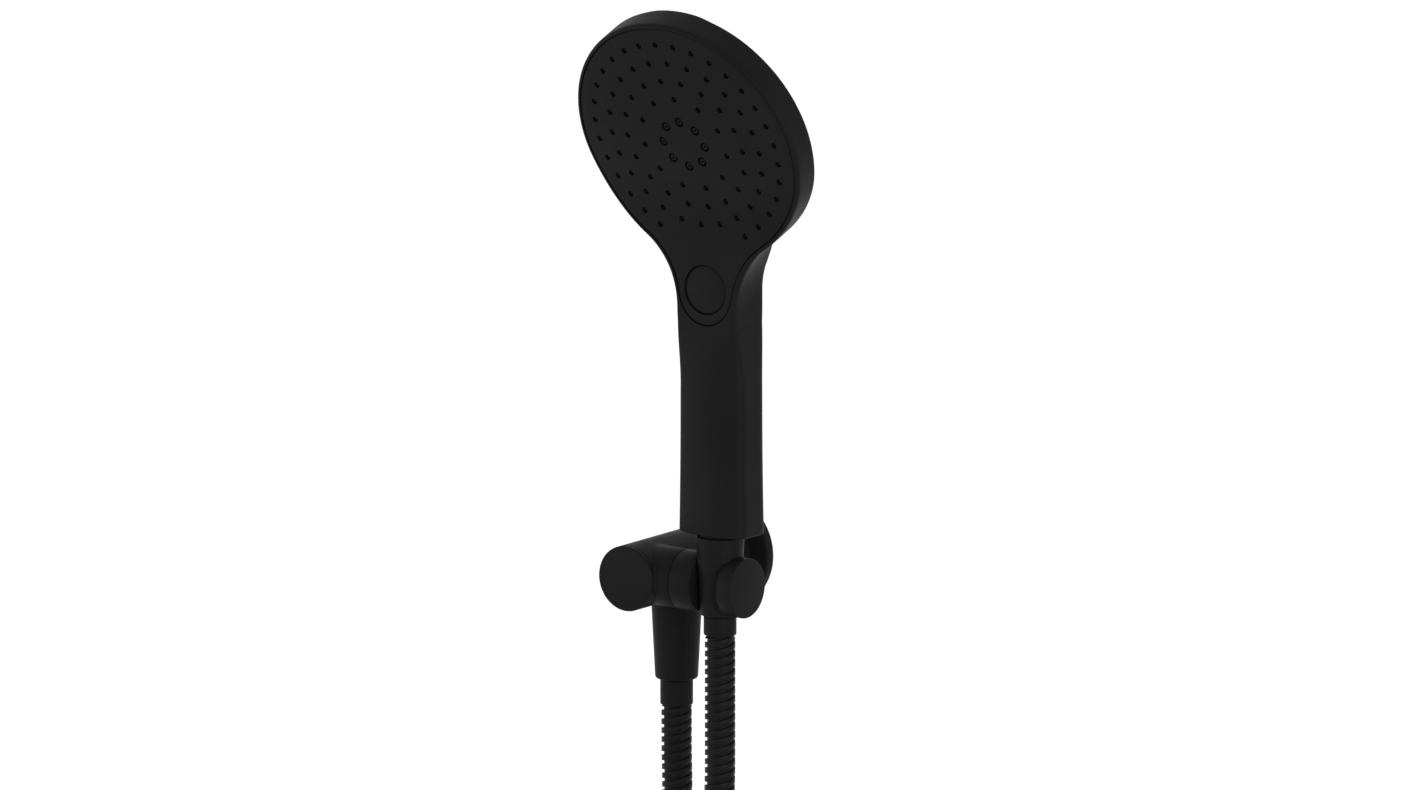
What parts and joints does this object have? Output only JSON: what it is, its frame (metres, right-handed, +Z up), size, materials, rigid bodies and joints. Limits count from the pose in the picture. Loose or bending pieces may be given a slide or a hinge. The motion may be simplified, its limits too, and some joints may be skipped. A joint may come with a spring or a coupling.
{
  "type": "handheld shower head",
  "caption": "Round handheld shower head with a slim grip and a spray button, standing in a tilting cradle on a wall elbow, with its metal hose coiled below.",
  "frame": {"origin": "on the wall plane, at the centre of the elbow's inlet", "axes": "+X from the elbow towards the cradle, +Y into the wall, +Z up"},
  "size_m": [0.1597, 0.1233, 0.5887],
  "materials": {
    "matt_black_shell": "satin matt black",
    "matt_black_metal": "satin matt black",
    "matt_black_hose": "satin matt black",
    "black_plastic": "moulded",
    "white_plastic": "moulded",
    "silicone": "matt",
    "rubber": "matt",
    "brass": "machined",
    "steel": "plain"
  },
  "bodies": {
    "bracket": {"elbow_body": "matt_black_metal", "front_cap": "matt_black_metal", "wall_flange": "matt_black_metal", "flange_ring": "rubber", "wall_nipple": "brass", "nipple_ring_1": "rubber", "nipple_ring_2": "rubber", "grub_screw": "steel", "pivot_screw": "steel", "outlet_nipple": "brass", "check_valve_cage": "white_plastic", "check_valve_spring": "steel", "outlet_nut": "matt_black_metal", "outlet_washer": "rubber", "outlet_insert": "brass", "outlet_ferrule": "matt_black_metal", "hose_outlet_run": "matt_black_hose", "hose_coil": "matt_black_hose", "hose_tie": "rubber", "hose_handset_run": "matt_black_hose"},
    "poppet": {"check_valve_poppet": "black_plastic"},
    "cradle": {"cradle": "matt_black_metal", "cradle_cap": "matt_black_metal", "friction_washer": "white_plastic"},
    "hose_end": {"handset_ferrule": "matt_black_metal", "handset_insert": "brass", "handset_washer": "rubber"},
    "handset": {"handset_nut": "matt_black_metal", "handset_body": "matt_black_shell", "spray_face_plate": "matt_black_shell", "rain_nozzle_mat": "silicone", "jet_nozzle_insert": "black_plastic", "spray_distributor": "white_plastic", "distributor_seal": "rubber", "distributor_screw_1": "steel", "distributor_screw_2": "steel", "distributor_screw_3": "steel", "button_spring": "steel", "button_seal": "rubber", "selector_housing": "white_plastic", "water_tube": "white_plastic", "inlet_spigot": "brass", "spigot_ring": "rubber", "flow_limiter": "black_plastic"},
    "button": {"diverter_button": "matt_black_shell"},
    "selector": {"selector_cam": "black_plastic"}
  },
  "joints": [
    {"name": "cradle_tilt", "type": "hinge", "parent": "bracket", "child": "cradle", "pos_m": [0.0223, -0.0642, 0], "axis": [1, 0, 0], "range_deg": [-10, 40], "deforming": ["hose_handset_run"]},
    {"name": "handset_lift", "type": "slide", "parent": "cradle", "child": "hose_end", "axis": [0, 0, 1], "range_m": [0, 0.03], "deforming": ["hose_handset_run"]},
    {"name": "handset_turn", "type": "hinge", "parent": "hose_end", "child": "handset", "pos_m": [0.042, -0.0642, 0], "axis": [0, 0, 1], "range_deg": [-90, 90]},
    {"name": "button_press", "type": "slide", "parent": "handset", "child": "button", "axis": [0, 1, 0], "range_m": [0, 0.0022], "stiffness_N_per_m": 1500, "springref_m": -0.001, "deforming": ["button_spring"]},
    {"name": "selector_turn", "type": "hinge", "parent": "handset", "child": "selector", "pos_m": [0.042, -0.0642, 0.1395], "axis": [0, 1, 0], "range_deg": [0, 60]},
    {"name": "check_valve_open", "type": "slide", "parent": "bracket", "child": "poppet", "axis": [0, 0, -1], "range_m": [0, 0.002], "stiffness_N_per_m": 60, "springref_m": -0.001, "deforming": ["check_valve_spring"]}
  ],
  "couplings": [
    {"joint": "selector_turn", "follows": "button_press", "rad_per_m": 475}
  ]
}
